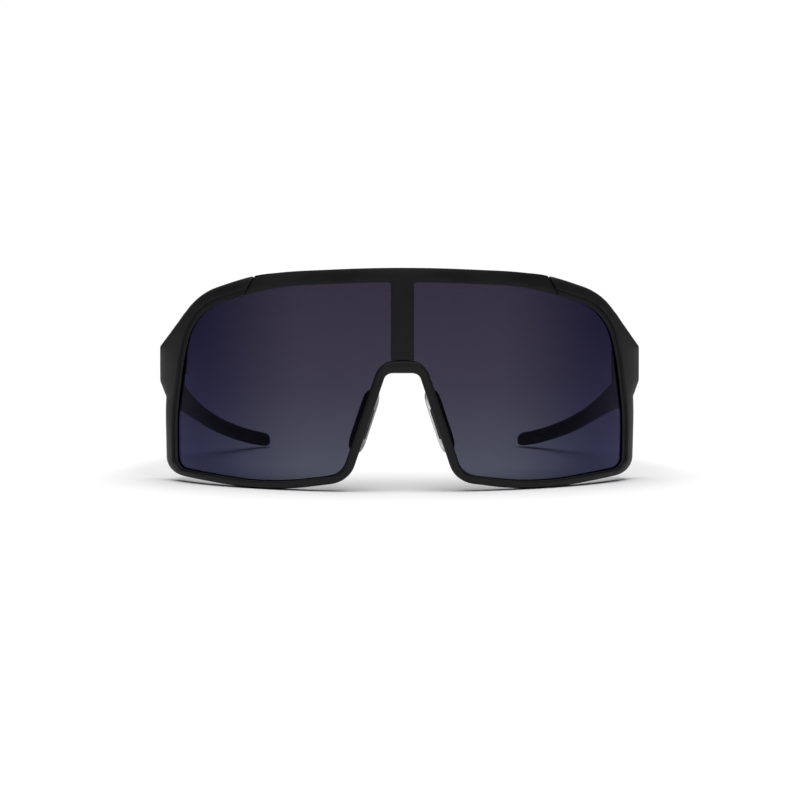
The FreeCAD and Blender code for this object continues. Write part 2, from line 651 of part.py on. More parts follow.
# ================================================================ the whole pair
def build():
    """Every piece by name, in the modelling frame."""
    ring = ring_prism()
    groove = lens_groove()
    frame = front_frame(ring, groove)
    ground = exact_box(frame).ZMin
    pieces = {
        "front_frame": frame,
        "shield_lens": lens(),
        "brow_bar": brow_bar(ring, groove),
    }
    front_leaf, temple_leaf = hinge_leaves()
    arm, sleeve = temple_parts(ground)
    front_rivets = [rivet(y) for y in rivet_spots(-1, FRONT_LEAF_LENGTH, 1)]
    temple_rivets = [rivet(y) for y in rivet_spots(1, TEMPLE_LEAF_LENGTH, 2)]
    left_pieces = {
        "nose_pad_carrier": nose_pad_carrier(),
        "nose_pad": nose_pad(),
        "front_hinge_leaf": front_leaf,
        "front_leaf_rivet": Part.makeCompound(front_rivets),
        "hinge_screw": hinge_screw(),
        "temple_arm": arm,
        "temple_tip": sleeve,
        "temple_hinge_leaf": temple_leaf,
        "temple_leaf_rivets": Part.makeCompound(temple_rivets),
    }
    for name, shape in left_pieces.items():
        pieces[name + "_left"] = shape
        pieces[name + "_right"] = mirrored(shape)
    return pieces, ground


def place(pieces, ground):
    """Move the pieces to the part's frame and return the shift."""
    boxes = [exact_box(shape) for shape in pieces.values()]
    front_y = min(box.YMin for box in boxes)
    back_y = max(box.YMax for box in boxes)
    shift = V(0, -0.5 * (front_y + back_y), -ground)
    for shape in pieces.values():
        shape.translate(shift)
    return shift


PIECES, GROUND = build()
SHIFT = place(PIECES, GROUND)
os.makedirs("parts", exist_ok=True)
for piece_name, piece in sorted(PIECES.items()):
    piece.exportStep("parts/%s.step" % piece_name)
box = FreeCAD.BoundBox()
for piece in PIECES.values():
    box.add(exact_box(piece))
print("overall box mm", [round(v, 3) for v in (box.XLength, box.YLength, box.ZLength)])
print("lowest and highest corner", [round(v, 3) for v in (box.XMin, box.YMin, box.ZMin)],
      [round(v, 3) for v in (box.XMax, box.YMax, box.ZMax)])
hinge = V(HINGE_X, HINGE_Y, HINGE_Z) + SHIFT
print("left hinge axis at", [round(v, 4) for v in hinge])
print("shift", [round(v, 4) for v in SHIFT])
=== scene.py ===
"""Wraparound sport sunglasses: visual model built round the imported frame, in metres."""
import bisect
import math

import bmesh
import bpy
from mathutils import Matrix, Vector
from mathutils.geometry import delaunay_2d_cdt
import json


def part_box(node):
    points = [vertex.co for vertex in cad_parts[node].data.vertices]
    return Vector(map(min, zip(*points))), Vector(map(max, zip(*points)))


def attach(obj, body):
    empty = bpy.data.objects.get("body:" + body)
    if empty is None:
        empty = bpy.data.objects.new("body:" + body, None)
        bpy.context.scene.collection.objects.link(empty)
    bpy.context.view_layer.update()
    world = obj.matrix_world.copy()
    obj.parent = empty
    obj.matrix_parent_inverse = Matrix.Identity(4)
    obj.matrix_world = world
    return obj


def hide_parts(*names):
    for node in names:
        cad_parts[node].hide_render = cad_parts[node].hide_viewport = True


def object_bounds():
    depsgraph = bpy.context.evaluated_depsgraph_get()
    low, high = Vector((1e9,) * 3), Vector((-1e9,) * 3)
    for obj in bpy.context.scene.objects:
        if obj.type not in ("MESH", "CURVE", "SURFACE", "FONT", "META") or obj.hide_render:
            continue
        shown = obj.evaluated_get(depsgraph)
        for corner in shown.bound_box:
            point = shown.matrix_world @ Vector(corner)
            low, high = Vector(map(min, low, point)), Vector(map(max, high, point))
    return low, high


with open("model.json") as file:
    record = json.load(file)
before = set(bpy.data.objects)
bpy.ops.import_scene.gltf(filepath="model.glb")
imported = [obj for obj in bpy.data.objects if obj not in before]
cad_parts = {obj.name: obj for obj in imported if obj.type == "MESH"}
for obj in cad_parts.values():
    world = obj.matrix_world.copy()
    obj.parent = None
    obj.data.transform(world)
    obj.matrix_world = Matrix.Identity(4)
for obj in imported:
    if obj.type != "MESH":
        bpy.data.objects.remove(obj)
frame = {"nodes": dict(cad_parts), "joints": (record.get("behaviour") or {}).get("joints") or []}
cad_low, cad_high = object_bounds()

# ---------------------------------------------------------------- camera
# A long lens square on to the front, slightly above it, as for a catalogue picture.
# It looks past the nose to the line between the two hinges.
MM = 0.001
HINGE = Vector(frame["joints"][0]["pos_m"])
camera_data = bpy.data.cameras.new("camera")
camera_data.sensor_width = 36
camera_data.lens = 95.5
camera = bpy.data.objects.new("camera", camera_data)
bpy.context.scene.collection.objects.link(camera)
bpy.context.scene.camera = camera
CAMERA_AIM = Vector((0, HINGE.y - 5.7 * MM, 24.0 * MM))
CAMERA_DISTANCE = 638 * MM
CAMERA_RISE = math.radians(3.5)
CAMERA_TURN = math.radians(-1.05)
camera_back = Vector((
    math.sin(CAMERA_TURN) * math.cos(CAMERA_RISE),
    -math.cos(CAMERA_TURN) * math.cos(CAMERA_RISE),
    math.sin(CAMERA_RISE),
))
camera.location = CAMERA_AIM + camera_back * CAMERA_DISTANCE
camera.rotation_euler = (-camera_back).to_track_quat("-Z", "Y").to_euler()

# ---------------------------------------------------------------- floor and light
# The glasses stand open on a pale sweep in a white studio tent that is dark on the camera's
# side, so faces turned up, down or outward catch more light than those that face forward.
def linear(hex_colour):
    """Linear RGBA of an sRGB hex colour."""
    channels = []
    for i in (1, 3, 5):
        value = int(hex_colour[i:i + 2], 16) / 255
        channels.append(value / 12.92 if value <= 0.04045 else ((value + 0.055) / 1.055) ** 2.4)
    return (*channels, 1.0)


def add(tree, kind, settings=None, **links):
    """Add a node: settings are its attributes or socket values, links feed its inputs."""
    node = tree.nodes.new(kind)
    for key, value in (settings or {}).items():
        if isinstance(key, str) and key not in node.inputs:
            setattr(node, key, value)
        else:
            node.inputs[key].default_value = value
    for key, source in links.items():
        target = int(key[1:]) if key[0] == "_" else key.replace("_", " ")
        tree.links.new(source, node.inputs[target])
    return node


def new_material(name):
    """A material with empty nodes, and its output node."""
    made = bpy.data.materials.new(name)
    made.use_nodes = True
    made.node_tree.nodes.clear()
    return made, made.node_tree.nodes.new("ShaderNodeOutputMaterial")


# Colours come out as they are lit, without a film curve that greys the white of the tent.
bpy.context.scene.view_settings.view_transform = "Standard"
world = bpy.data.worlds.new("studio tent")
bpy.context.scene.world = world
world.use_nodes = True
tree = world.node_tree
tree.nodes.clear()
direction = add(tree, "ShaderNodeTexCoord")
parts = add(tree, "ShaderNodeSeparateXYZ", Vector=direction.outputs["Generated"])
tent = add(tree, "ShaderNodeValToRGB", Fac=add(
    tree, "ShaderNodeMapRange", {"From Min": -1.0, "From Max": 1.0},
    Value=parts.outputs["Y"]).outputs["Result"])
tent.color_ramp.elements[0].position = 0.66
tent.color_ramp.elements[0].color = (0.03, 0.03, 0.032, 1)
tent.color_ramp.elements[1].position = 0.96
tent.color_ramp.elements[1].color = (1, 1, 1, 1)
tent_light = add(tree, "ShaderNodeBackground", {"Strength": 0.3}, Color=tent.outputs["Color"])
white_sweep = add(tree, "ShaderNodeBackground", {"Color": (1, 1, 1, 1), "Strength": 1.02})
seen_directly = add(tree, "ShaderNodeLightPath")
backdrop = add(tree, "ShaderNodeMixShader", _0=seen_directly.outputs["Is Camera Ray"],
               _1=tent_light.outputs["Background"], _2=white_sweep.outputs["Background"])
tree.links.new(backdrop.outputs["Shader"], add(tree, "ShaderNodeOutputWorld").inputs["Surface"])

overhead_data = bpy.data.lights.new("overhead tent roof", "SUN")
overhead_data.energy = 3.35
overhead_data.angle = math.radians(75)
overhead = bpy.data.objects.new("overhead tent roof", overhead_data)
overhead.rotation_euler = (math.radians(12), 0, 0)
bpy.context.scene.collection.objects.link(overhead)

FLOOR_REACH = 6.0
floor_mesh = bmesh.new()
corners = ((-FLOOR_REACH, -FLOOR_REACH), (FLOOR_REACH, -FLOOR_REACH),
           (FLOOR_REACH, FLOOR_REACH), (-FLOOR_REACH, FLOOR_REACH))
floor_mesh.faces.new([floor_mesh.verts.new((x, y, cad_low[2] - 0.05 * MM)) for x, y in corners])
floor_data = bpy.data.meshes.new("floor")
floor_mesh.to_mesh(floor_data)
floor_mesh.free()
floor_paper, paper_output = new_material("white paper sweep, uncoated")
tree = floor_paper.node_tree
paper = add(tree, "ShaderNodeBsdfDiffuse", {"Color": linear("#fafafa")})
tree.links.new(paper.outputs["BSDF"], paper_output.inputs["Surface"])
floor_data.materials.append(floor_paper)
floor = bpy.data.objects.new("floor", floor_data)
bpy.context.scene.collection.objects.link(floor)

# ---------------------------------------------------------------- shield lens
# One sheet of tinted polycarbonate, 2 mm thick, moulded to a toric curve and cut to shape.
# Its edge sits in the rim's groove. It is smoke grey with a faint purple mirror coat.
LENS_RADIUS = 86.0 * MM
UPRIGHT_RADIUS = 220.0 * MM
LENS_THICKNESS = 2.0 * MM
LENS_EDGE_COVERED = 1.1 * MM
LENS_EDGE_ROUND = 0.2 * MM
OPENING_MIDDLE_Z = 30.8 * MM
APEX_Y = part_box("shield_lens")[0].y

# Corners of the lens opening, right half, clockwise from the crown: x, z, radius in mm
OPENING_HALF = [
    (0.0, 59.9, 400.0),     # crown
    (37.5, 58.3, 80.0),     # brow bend
    (60.4, 50.9, 16.0),     # shoulder
    (63.9, 36.4, 50.0),     # cheek
    (66.2, 19.9, 80.0),
    (66.2, 4.2, 3.0),       # lower corner
    (38.0, 1.7, 91.0),      # bottom
    (17.3, 4.8, 6.0),       # foot of the nose leg
    (6.3, 37.4, 6.2),       # nose arch
]


def mirrored_loop(half):
    """Whole loop from its right half; the first corner or value is on the centre line."""
    return half + [(-x, z, radius) for x, z, radius in reversed(half[1:])]


def walk(corners, step):
    """Stops round a clockwise outline with rounded corners, as (point, outward, side).
    side is i on the straight side after corner i, and rises from i - 1 to i round corner i."""
    bends = []
    for i, (x, z, radius) in enumerate(corners):
        here = Vector((x, z))
        before = (Vector(corners[i - 1][:2]) - here).normalized()
        after = (Vector(corners[(i + 1) % len(corners)][:2]) - here).normalized()
        half = 0.5 * before.angle(after)
        centre = here + (before + after).normalized() * (radius / math.sin(half))
        reach = radius / math.tan(half)
        convex = before.x * after.y - before.y * after.x > 0
        bends.append((here + before * reach, here + after * reach, centre, 1 if convex else -1))
    stops = []
    for i, (start, end, centre, sign) in enumerate(bends):
        first, last = start - centre, end - centre
        turn = first.angle(last)
        pieces = max(6, math.ceil(first.length * turn / step))
        for k in range(pieces + 1):
            share = k / pieces
            arm = first * math.sin((1 - share) * turn) + last * math.sin(share * turn)
            stops.append((centre + arm / math.sin(turn), arm.normalized() * sign, i - 1 + share))
        following = bends[(i + 1) % len(bends)][0]
        along = (following - end).normalized()
        straight_pieces = round((following - end).length / step)
        for k in range(1, straight_pieces):
            spot = end.lerp(following, k / straight_pieces)
            stops.append((spot, Vector((-along.y, along.x)), i))
    return stops


def on_shield(x, z, out):
    """Point at (x, z), seen from the front, on the toric face that is out ahead of the lens."""
    upright = UPRIGHT_RADIUS + out
    ring = LENS_RADIUS + out - upright + math.sqrt(upright ** 2 - (z - OPENING_MIDDLE_Z) ** 2)
    return Vector((x, APEX_Y + LENS_RADIUS - math.sqrt(ring ** 2 - x ** 2), z))


def inset_points(points, distance):
    """A clockwise closed outline moved inward."""
    moved = []
    for i, here in enumerate(points):
        along = (points[(i + 1) % len(points)] - points[i - 1]).normalized()
        moved.append(here + Vector((along.y, -along.x)) * distance)
    return moved


def inside(point, outline):
    """True if a 2-D point is inside a closed outline."""
    found = False
    for i, b in enumerate(outline):
        a = outline[i - 1]
        if (a.y > point.y) != (b.y > point.y):
            if point.x < a.x + (point.y - a.y) * (b.x - a.x) / (b.y - a.y):
                found = not found
    return found


def curved_plate(outline, front, back, edge, grid):
    """bmesh of a plate that follows the shield; outline and grid in mm, depths in metres."""
    inner = inset_points(outline, edge / MM)
    spots = list(inner)
    low_x, high_x = min(p.x for p in inner), max(p.x for p in inner)
    low_z, high_z = min(p.y for p in inner), max(p.y for p in inner)
    across, up = round((high_x - low_x) / grid), round((high_z - low_z) / grid)
    for i in range(1, across):
        for k in range(1, up):
            spot = Vector((low_x + (high_x - low_x) * i / across,
                           low_z + (high_z - low_z) * k / up))
            near = min((spot - p).length_squared for p in inner)
            if near > (0.5 * grid) ** 2 and inside(spot, inner):
                spots.append(spot)
    rim_edges = [(i, (i + 1) % len(inner)) for i in range(len(inner))]
    flat, _, triangles, sources, _, _ = delaunay_2d_cdt(spots, rim_edges, [], 1, 1e-6)
    place_of = {}
    for i, source in enumerate(sources):
        for s in source:
            place_of[s] = i
    mesh = bmesh.new()
    caps = []
    for depth in (front, back):
        caps.append([mesh.verts.new(on_shield(p.x * MM, p.y * MM, depth)) for p in flat])
    for triangle in triangles:
        mesh.faces.new([caps[0][i] for i in triangle])
        mesh.faces.new([caps[1][i] for i in reversed(triangle)])
    slope = edge * (1 - math.sqrt(0.5))
    loops = [[caps[0][place_of[i]] for i in range(len(inner))]]
    for inset, depth in ((slope, front - slope), (0, front - edge), (0, back + edge),
                         (slope, back + slope)):
        moved = inset_points(outline, inset / MM)
        loops.append([mesh.verts.new(on_shield(p.x * MM, p.y * MM, depth)) for p in moved])
    loops.append([caps[1][place_of[i]] for i in range(len(inner))])
    for one, two in zip(loops, loops[1:]):
        for i in range(len(one)):
            k = (i + 1) % len(one)
            mesh.faces.new((one[i], one[k], two[k], two[i]))
    return mesh


def piece(name, mesh, material, body, slot, *nodes, sharp=35.0):
    bmesh.ops.recalc_face_normals(mesh, faces=mesh.faces)
    for face in mesh.faces:
        face.smooth = True
    data = bpy.data.meshes.new(name)
    mesh.to_mesh(data)
    mesh.free()
    data.set_sharp_from_angle(angle=math.radians(sharp))
    data.materials.append(material)
    made = bpy.data.objects.new(name, data)
    bpy.context.scene.collection.objects.link(made)
    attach(made, body)
    if nodes:
        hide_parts(*nodes)
    return made


# Tinted polycarbonate with a thin mirror coat: clear enough to show the temples behind it.
# Darker towards the brow and the sides, lightest over the cheeks. Towards the sides the tint is
# also painted bluer: a painted reflection of the coat at grazing angles.
lens_material, lens_output = new_material("smoke polycarbonate with purple mirror coat")
tree = lens_material.node_tree
coordinates = add(tree, "ShaderNodeTexCoord")
axes = add(tree, "ShaderNodeSeparateXYZ", Vector=coordinates.outputs["Object"])
height = add(tree, "ShaderNodeMapRange", {"From Min": 0.0, "From Max": 60 * MM},
             Value=axes.outputs["Z"])
height_tint = add(tree, "ShaderNodeValToRGB", Fac=height.outputs["Result"])
ramp = height_tint.color_ramp
ramp.elements[0].position = 0.05
ramp.elements[0].color = linear("#8f929d")
ramp.elements[1].position = 0.95
ramp.elements[1].color = linear("#787482")
middle_tint = ramp.elements.new(0.5)
middle_tint.color = linear("#7f7c8a")
side = add(tree, "ShaderNodeMath", {"operation": "ABSOLUTE"}, _0=axes.outputs["X"])
side_share = add(tree, "ShaderNodeMapRange",
                 {"From Min": 25 * MM, "From Max": 68 * MM, "interpolation_type": "SMOOTHSTEP"},
                 Value=side.outputs["Value"])
# Towards the sides the tint is darkened and painted bluer; the blue is a painted reflection of the
# coat at grazing angles.
tint_with_painted_side_reflection = add(tree, "ShaderNodeMix",
                {"data_type": "RGBA", "blend_type": "MULTIPLY", 7: linear("#c0c0dc")},
                _0=side_share.outputs["Result"], _6=height_tint.outputs["Color"])
through = add(tree, "ShaderNodeBsdfTransparent", Color=tint_with_painted_side_reflection.outputs[2])
coat_haze = add(tree, "ShaderNodeTexNoise", {"Scale": 60.0, "Detail": 2.0},
                Vector=coordinates.outputs["Object"])
coat_roughness = add(tree, "ShaderNodeMapRange", {"To Min": 0.2, "To Max": 0.26},
                     Value=coat_haze.outputs["Fac"])
coat = add(tree, "ShaderNodeBsdfGlossy", {"Color": linear("#c9c4e6")},
           Roughness=coat_roughness.outputs["Result"])
facing = add(tree, "ShaderNodeLayerWeight", {"Blend": 0.5})
grazing = add(tree, "ShaderNodeMath", {"operation": "POWER", 1: 4.0},
              _0=facing.outputs["Facing"])
mirror_share = add(tree, "ShaderNodeMapRange", {"To Min": 0.003, "To Max": 0.7},
                   Value=grazing.outputs["Value"])
lens_mix = add(tree, "ShaderNodeMixShader", _0=mirror_share.outputs["Result"],
               _1=through.outputs["BSDF"], _2=coat.outputs["BSDF"])
tree.links.new(lens_mix.outputs["Shader"], lens_output.inputs["Surface"])

LENS_STEP = 1.2              # mm between points of its outline
LENS_GRID = 2.0              # mm between points of its faces
opening_stops = walk(mirrored_loop(OPENING_HALF), LENS_STEP)
lens_outline = [spot + out * LENS_EDGE_COVERED / MM for spot, out, _ in opening_stops]
lens_mesh = curved_plate(lens_outline, 0, -LENS_THICKNESS, LENS_EDGE_ROUND, LENS_GRID)
piece("shield_lens_sheet", lens_mesh, lens_material, "front", "smoke_lens", "shield_lens")

# ---------------------------------------------------------------- front frame
# One injection-moulded nylon ring round the lens, with a raised outer ridge and a lower
# ledge next to the lens. It runs out into a block at each side that carries the hinge.
RIM_WIDTHS = [4.1, 4.7, 4.4, 4.4, 4.0, 2.3, 2.3, 2.7, 3.5]     # mm, by side of the opening
RIDGE_IN = [1.6, 1.6, 1.4, 1.2, 1.2, 0.5, 0.5, 0.45, 0.35]     # mm, ridge to opening
RIM_PROUD = 1.5
RIM_REAR = -3.5
LEDGE = 0.72
BROW_SPLIT = -2.0            # under the brow bar the frame is only this strip
BROW_END = ((43.8, 58.5), (40.7, 64.0))    # the slanted joint with the brow bar, low and top
BROW_GAP = 0.1
GROOVE = 1.3
# Side block, seen from the front, from the shoulder round to its underside
LUG_OUTLINE = [
    (62.6, 51.7, 0.5), (66.1, 47.3, 6.0), (69.5, 43.1, 6.0), (72.0, 40.1, 0.7),
    (72.0, 29.9, 0.8), (70.4, 26.3, 2.0), (67.4, 21.3, 0.5),
]
LUG_TOP, LUG_LOW = 40.1, 29.9
LUG_INNER_X = 66.0
LUG_ROUND = 0.7
BUTT_GAP = 0.08
KNUCKLE_CLEAR = 1.68
KNUCKLE_ROOM_LOW = 31.6
HINGE_X, HINGE_Y = abs(HINGE.x) / MM, HINGE.y / MM

FINE_STEP = 0.2
fine_stops = walk(mirrored_loop(OPENING_HALF), FINE_STEP)
distances = [0.0]
for one, two in zip(fine_stops, fine_stops[1:]):
    distances.append(distances[-1] + (two[0] - one[0]).length)
LOOP = distances[-1] + (fine_stops[0][0] - fine_stops[-1][0]).length
CROWN_AT = 0.5 * distances[sum(1 for stop in fine_stops if stop[2] < 0)]


def opening_at(distance):
    """(point, outward, side) on the opening's edge, at a distance in mm from the crown."""
    wanted = (distance + CROWN_AT) % LOOP
    i = bisect.bisect_right(distances, wanted) - 1
    here = fine_stops[i]
    if i + 1 == len(fine_stops):
        return here
    there = fine_stops[i + 1]
    share = (wanted - distances[i]) / max(distances[i + 1] - distances[i], 1e-9)
    side = here[2] + share * (there[2] - here[2])
    return here[0].lerp(there[0], share), here[1].lerp(there[1], share).normalized(), side


def by_side(half, side):
    """Value of a list given for the right half's sides, eased round the corners."""
    values = half + half[-2::-1]
    low = math.floor(side)
    share = side - low
    share = share * share * (3 - 2 * share)
    here, there = values[low % len(values)], values[(low + 1) % len(values)]
    return here + share * (there - here)


def past_brow_end(spot):
    """How far out a point is past the slanted brow joint, in mm, along x."""
    (x_low, z_low), (x_top, z_top) = BROW_END
    return abs(spot.x) - x_low - (x_top - x_low) * (spot.y - z_low) / (z_top - z_low)


SEARCH_FROM, SEARCH_STEP = 30.0, 0.02


def joint_distance(out):
    """Distance from the crown at which a line out from the opening meets the brow joint."""
    distance = SEARCH_FROM
    while True:
        spot, outward, _ = opening_at(distance)
        if past_brow_end(spot + outward * out) > 0:
            return distance
        distance += SEARCH_STEP


BROW_AT = joint_distance(0)
BROW_SLANT = (joint_distance(RIM_WIDTHS[0]) - BROW_AT) / RIM_WIDTHS[0]
SLANT_FADES = 12.0


def rim_spot(distance, out):
    """Point of the rim seen from the front: out from the opening, slanted near the joint."""
    near = max(0.0, 1 - abs(abs(distance) - BROW_AT) / SLANT_FADES)
    shift = BROW_SLANT * near * near * (3 - 2 * near) * out * math.copysign(1, distance)
    spot, outward, _ = opening_at(distance + shift)
    return spot + outward * out


LUG_STEP = 0.3
LUG_SIDE_FROM = 55           # nothing nearer the centre line than this meets the block
lug_stops = [stop[0] for stop in walk(LUG_OUTLINE, LUG_STEP)]


def lug_reach(spot, outward):
    """Distance from a point of the opening, outward, to the far edge of the side block."""
    sign = 1 if spot.x > 0 else -1
    from_x, from_z = sign * spot.x, spot.y
    go_x, go_z = sign * outward.x, outward.y
    reach = 0.0
    for i, b in enumerate(lug_stops):
        a = lug_stops[i - 1]
        side_x, side_z = b.x - a.x, b.y - a.y
        cross = go_x * side_z - go_z * side_x
        if from_x > LUG_SIDE_FROM and go_x > 0 and abs(cross) > 1e-9:
            far = ((a.x - from_x) * side_z - (a.y - from_z) * side_x) / cross
            share = ((a.x - from_x) * go_z - (a.y - from_z) * go_x) / cross
            if 0 <= share <= 1:
                reach = max(reach, far)
    return reach


LUG_EDGE = 0.45              # rounding of the block's rear edge in plan
LUG_EDGE_MIDDLE = 0.13
LUG_FLANK_X = 71.6           # sections that reach past this belong to the block


def lug_section(corner, top_y, rear_y):
    """Plan outline in mm of the side block: back along its outer face, round, and forward."""
    x = abs(corner.x)
    edge = min(LUG_TOP - corner.y, corner.y - LUG_LOW)
    fall = LUG_ROUND - math.sqrt(max(0.0, LUG_ROUND ** 2 - max(0.0, LUG_ROUND - edge) ** 2))
    end = HINGE_Y - BUTT_GAP - fall
    line = [(x, 0.5 * (top_y + end)), (x, end - LUG_EDGE),
            (x - LUG_EDGE_MIDDLE, end - LUG_EDGE_MIDDLE), (x - LUG_EDGE, end)]
    first = math.asin((end - HINGE_Y) / KNUCKLE_CLEAR)
    last = -math.acos((LUG_INNER_X - HINGE_X) / KNUCKLE_CLEAR)
    for k in range(6):
        turn = first + (last - first) * k / 5
        spot = (HINGE_X + KNUCKLE_CLEAR * math.cos(turn), HINGE_Y + KNUCKLE_CLEAR * math.sin(turn))
        if corner.y < KNUCKLE_ROOM_LOW:
            spot = (max(LUG_INNER_X, spot[0]), end) if k < 5 else (LUG_INNER_X, end - 0.3)
        line.append(spot)
    return line + [(LUG_INNER_X, rear_y + 0.4), (LUG_INNER_X - 0.12, rear_y + 0.12)]


def rim_section(distance):
    """Points round the rim's section at a distance from the crown, in metres."""
    spot, outward, side = opening_at(distance)
    rim, lug = by_side(RIM_WIDTHS, side), lug_reach(spot, outward)
    width = 0.5 * (rim + lug + math.hypot(rim - lug, 0.3)) if lug else rim
    wrap = max(0.0, outward.x * spot.x * MM / LENS_RADIUS)
    lean = (RIM_PROUD - LEDGE) * wrap
    ridge = by_side(RIDGE_IN, side) + lean
    base = ridge - lean - 0.12
    past = abs(distance) - BROW_AT - BROW_GAP
    if past > 0:
        nose = max(0.0, 1 - past / 0.9)
        width -= 0.55 * nose ** 2
        cap = RIM_PROUD - 0.75 * nose ** 2
    else:
        cap = BROW_SPLIT
    rest = width - ridge
    front = [
        (GROOVE, 0.04), (0.05, 0.04), (0.0, 0.14), (0.05, 0.5), (min(0.22, 0.5 * base), 0.66),
        (0.6 * base, LEDGE), (base, LEDGE + 0.03), (base + 0.35 * lean + 0.03, LEDGE + 0.3),
        (ridge - 0.07, RIM_PROUD - 0.14), (ridge + 0.06, RIM_PROUD - 0.02),
        (ridge + 0.12 + 0.05 * rest, RIM_PROUD), (ridge + 0.35 * rest, RIM_PROUD - 0.06),
        (ridge + 0.62 * rest, RIM_PROUD - 0.2), (width - 0.42, RIM_PROUD - 0.5),
        (width - 0.14, RIM_PROUD - 0.95), (width, RIM_PROUD - 1.6),
    ]
    points = []
    for out, ahead in front:
        seen = rim_spot(distance, out)
        points.append(on_shield(seen.x * MM, seen.y * MM, min(ahead, cap) * MM))
    corner = rim_spot(distance, width)
    if abs(corner.x) > LUG_FLANK_X and LUG_LOW < corner.y < LUG_TOP:
        rear_y = on_shield(LUG_INNER_X * MM, corner.y * MM, RIM_REAR * MM).y / MM
        flank_y = points[-1].y / MM
        for x, y in lug_section(corner, flank_y, rear_y):
            points.append(Vector((math.copysign(x, corner.x), y, corner.y)) * MM)
    else:
        rear = [(width, -1.2), (width, -2.4), (width - 0.16, -3.05), (width - 0.5, -3.4)]
        for k in range(8):
            rear.append((width - 0.9 + (1.8 - width) * k / 7, RIM_REAR))
        for out, ahead in rear:
            seen = rim_spot(distance, out)
            points.append(on_shield(seen.x * MM, seen.y * MM, min(ahead, cap) * MM))
    for out, ahead in ((0.55, -3.42), (0.16, -3.15), (0.0, -2.75), (0.0, -2.1), (GROOVE, -2.04)):
        seen = rim_spot(distance, out)
        points.append(on_shield(seen.x * MM, seen.y * MM, ahead * MM))
    return points


def closed_loft(sections):
    """bmesh of a tube through closed sections that returns to its start."""
    mesh = bmesh.new()
    rows = [[mesh.verts.new(spot) for spot in section] for section in sections]
    for i, row in enumerate(rows):
        before = rows[i - 1]
        for k, vert in enumerate(row):
            mesh.faces.new((before[k - 1], before[k], vert, row[k - 1]))
    return mesh


# Nylon is matt here because the mould was spark-eroded: a fine even grain that breaks up
# highlights. Its tone and its roughness drift a little at random over the part.
nylon, nylon_output = new_material("matt black nylon, moulded with an eroded grain")
tree = nylon.node_tree
GRAIN = 0.28 * MM            # real grain is about 0.1 mm, drawn coarser so that it shows
spot_map = add(tree, "ShaderNodeTexCoord")
grain = add(tree, "ShaderNodeTexNoise", {"Scale": 1 / GRAIN, "Detail": 3.0, "Roughness": 0.6},
            Vector=spot_map.outputs["Object"])
drift = add(tree, "ShaderNodeTexNoise", {"Scale": 1 / (14 * MM), "Detail": 2.0},
            Vector=spot_map.outputs["Object"])
tone = add(tree, "ShaderNodeValToRGB", Fac=drift.outputs["Fac"])
tone.color_ramp.elements[0].position = 0.3
tone.color_ramp.elements[0].color = linear("#0e0e0f")
tone.color_ramp.elements[1].position = 0.7
tone.color_ramp.elements[1].color = linear("#131314")
rubbed = add(tree, "ShaderNodeMapRange", {"From Min": 0.3, "From Max": 0.7, "To Min": 0.46,
                                          "To Max": 0.58}, Value=drift.outputs["Fac"])
grain_bump = add(tree, "ShaderNodeBump", {"Strength": 0.12, "Distance": 0.03 * MM},
                 Height=grain.outputs["Fac"])
nylon_skin = add(tree, "ShaderNodeBsdfPrincipled",
                 {"IOR": 1.53, "Specular IOR Level": 0.2}, Base_Color=tone.outputs["Color"],
                 Roughness=rubbed.outputs["Result"], Normal=grain_bump.outputs["Normal"])
tree.links.new(nylon_skin.outputs["BSDF"], nylon_output.inputs["Surface"])

SECTION_STEP = 0.5
near_joint = [0.001, 0.06, 0.15, 0.3, 0.5, 0.75, 1.0]
half_distances = [0.0]
while half_distances[-1] < 0.5 * LOOP - SECTION_STEP:
    half_distances.append(half_distances[-1] + SECTION_STEP)
half_distances = [d for d in half_distances if not 0 <= d - BROW_AT <= BROW_GAP + 1.2]
half_distances += [BROW_AT] + [BROW_AT + BROW_GAP + d for d in near_joint] + [0.5 * LOOP]
half_distances.append(BROW_AT + BROW_GAP - 0.001)
half_distances.sort()
ring_distances = half_distances + [-d for d in reversed(half_distances[1:-1])]
frame_mesh = closed_loft([rim_section(d) for d in ring_distances])
piece("front_frame_moulding", frame_mesh, nylon, "front", "frame_nylon", "front_frame")

# ---------------------------------------------------------------- brow bar
# A separate T-shaped nylon moulding, snapped over the top of the lens: its crossbar fills
# the middle of the brow and its stem runs down ahead of the lens to the nose arch.
BAR_PROUD = 0.8
BAR_HALF_WIDTH = 3.25
BAR_ROOT_RADIUS = 0.9
BAR_FOOT_Z = 37.55
BAR_EDGE = 0.18 * MM
REAR_STEP = 0.12             # the part behind the face is this much lower than its top edge

bar_distances = [d for d in half_distances if d < BROW_AT - 0.05] + [BROW_AT - 0.05]
bar_loop = [rim_spot(d, RIM_WIDTHS[0]) for d in [-d for d in reversed(bar_distances)]]
bar_loop += [rim_spot(d, RIM_WIDTHS[0]) for d in bar_distances[1:]]
for k in range(1, 8):
    bar_loop.append(rim_spot(bar_distances[-1], RIM_WIDTHS[0] * (1 - k / 8)))
lower = [rim_spot(d, 0.0) for d in reversed(bar_distances)]
lower = [spot for spot in lower if spot.x > BAR_HALF_WIDTH + BAR_ROOT_RADIUS]
root_z = lower[-1].y
right_side = list(lower)
for k in range(1, 7):
    turn = 0.5 * math.pi * k / 6
    right_side.append(Vector((BAR_HALF_WIDTH + BAR_ROOT_RADIUS * (1 - math.sin(turn)),
                              root_z - BAR_ROOT_RADIUS * (1 - math.cos(turn)))))
stem_z = right_side[-1].y
stem_pieces = round((stem_z - BAR_FOOT_Z) / 0.8)
for k in range(1, stem_pieces + 1):
    right_side.append(Vector((BAR_HALF_WIDTH, stem_z + (BAR_FOOT_Z - stem_z) * k / stem_pieces)))
for k in range(1, 5):
    right_side.append(Vector((BAR_HALF_WIDTH * (1 - k / 4), BAR_FOOT_Z)))
bar_loop += right_side
bar_loop += [Vector((-spot.x, spot.y)) for spot in reversed(right_side[:-1])]
